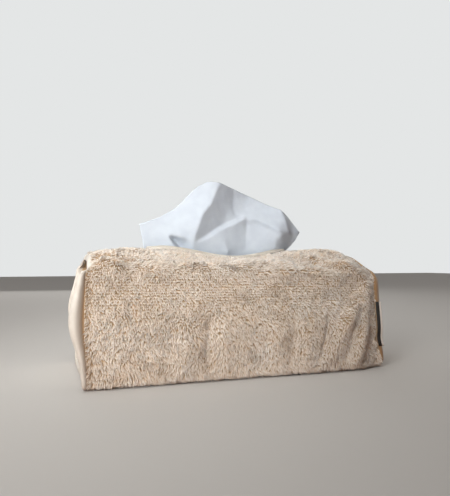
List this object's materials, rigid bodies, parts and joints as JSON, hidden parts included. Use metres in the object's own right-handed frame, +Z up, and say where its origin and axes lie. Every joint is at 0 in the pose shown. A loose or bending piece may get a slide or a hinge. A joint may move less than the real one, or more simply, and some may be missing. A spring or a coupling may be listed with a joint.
{
  "type": "tissue box cover",
  "caption": "Soft terry towelling sleeve that slips over a carton of tissues, open at both ends, with a slot along its top and a tissue standing in it.",
  "frame": {"origin": "on the surface the cover stands on, under the middle of the cloth's width and 1.5 mm to the left of the middle of its length", "axes": "+Z up, +X along the cover's length towards the end with the label, -Y out of the front wall"},
  "size_m": [0.2695, 0.1352, 0.165],
  "materials": {
    "terry": "beige cotton terry towelling with an uncut loop pile",
    "end_tape": "cream plain-woven cotton tape, matte",
    "lip_tape": "thin greyish beige cotton tape, matte",
    "label": "black damask-woven polyester with a white edge, no lettering",
    "carton_board": "plain uncoated folding boxboard, no print",
    "film": "thin clear polyethylene film",
    "tissue_paper": "soft white two-ply facial tissue"
  },
  "bodies": {
    "root": {"terry_sleeve": "terry", "left_end_tape": "end_tape", "right_end_tape": "end_tape", "front_lip_tape": "lip_tape", "back_lip_tape": "lip_tape", "woven_label": "label", "tissue_carton": "carton_board", "slit_film": "film", "tissue_stack": "tissue_paper", "pulled_tissue": "tissue_paper"}
  },
  "joints": []
}
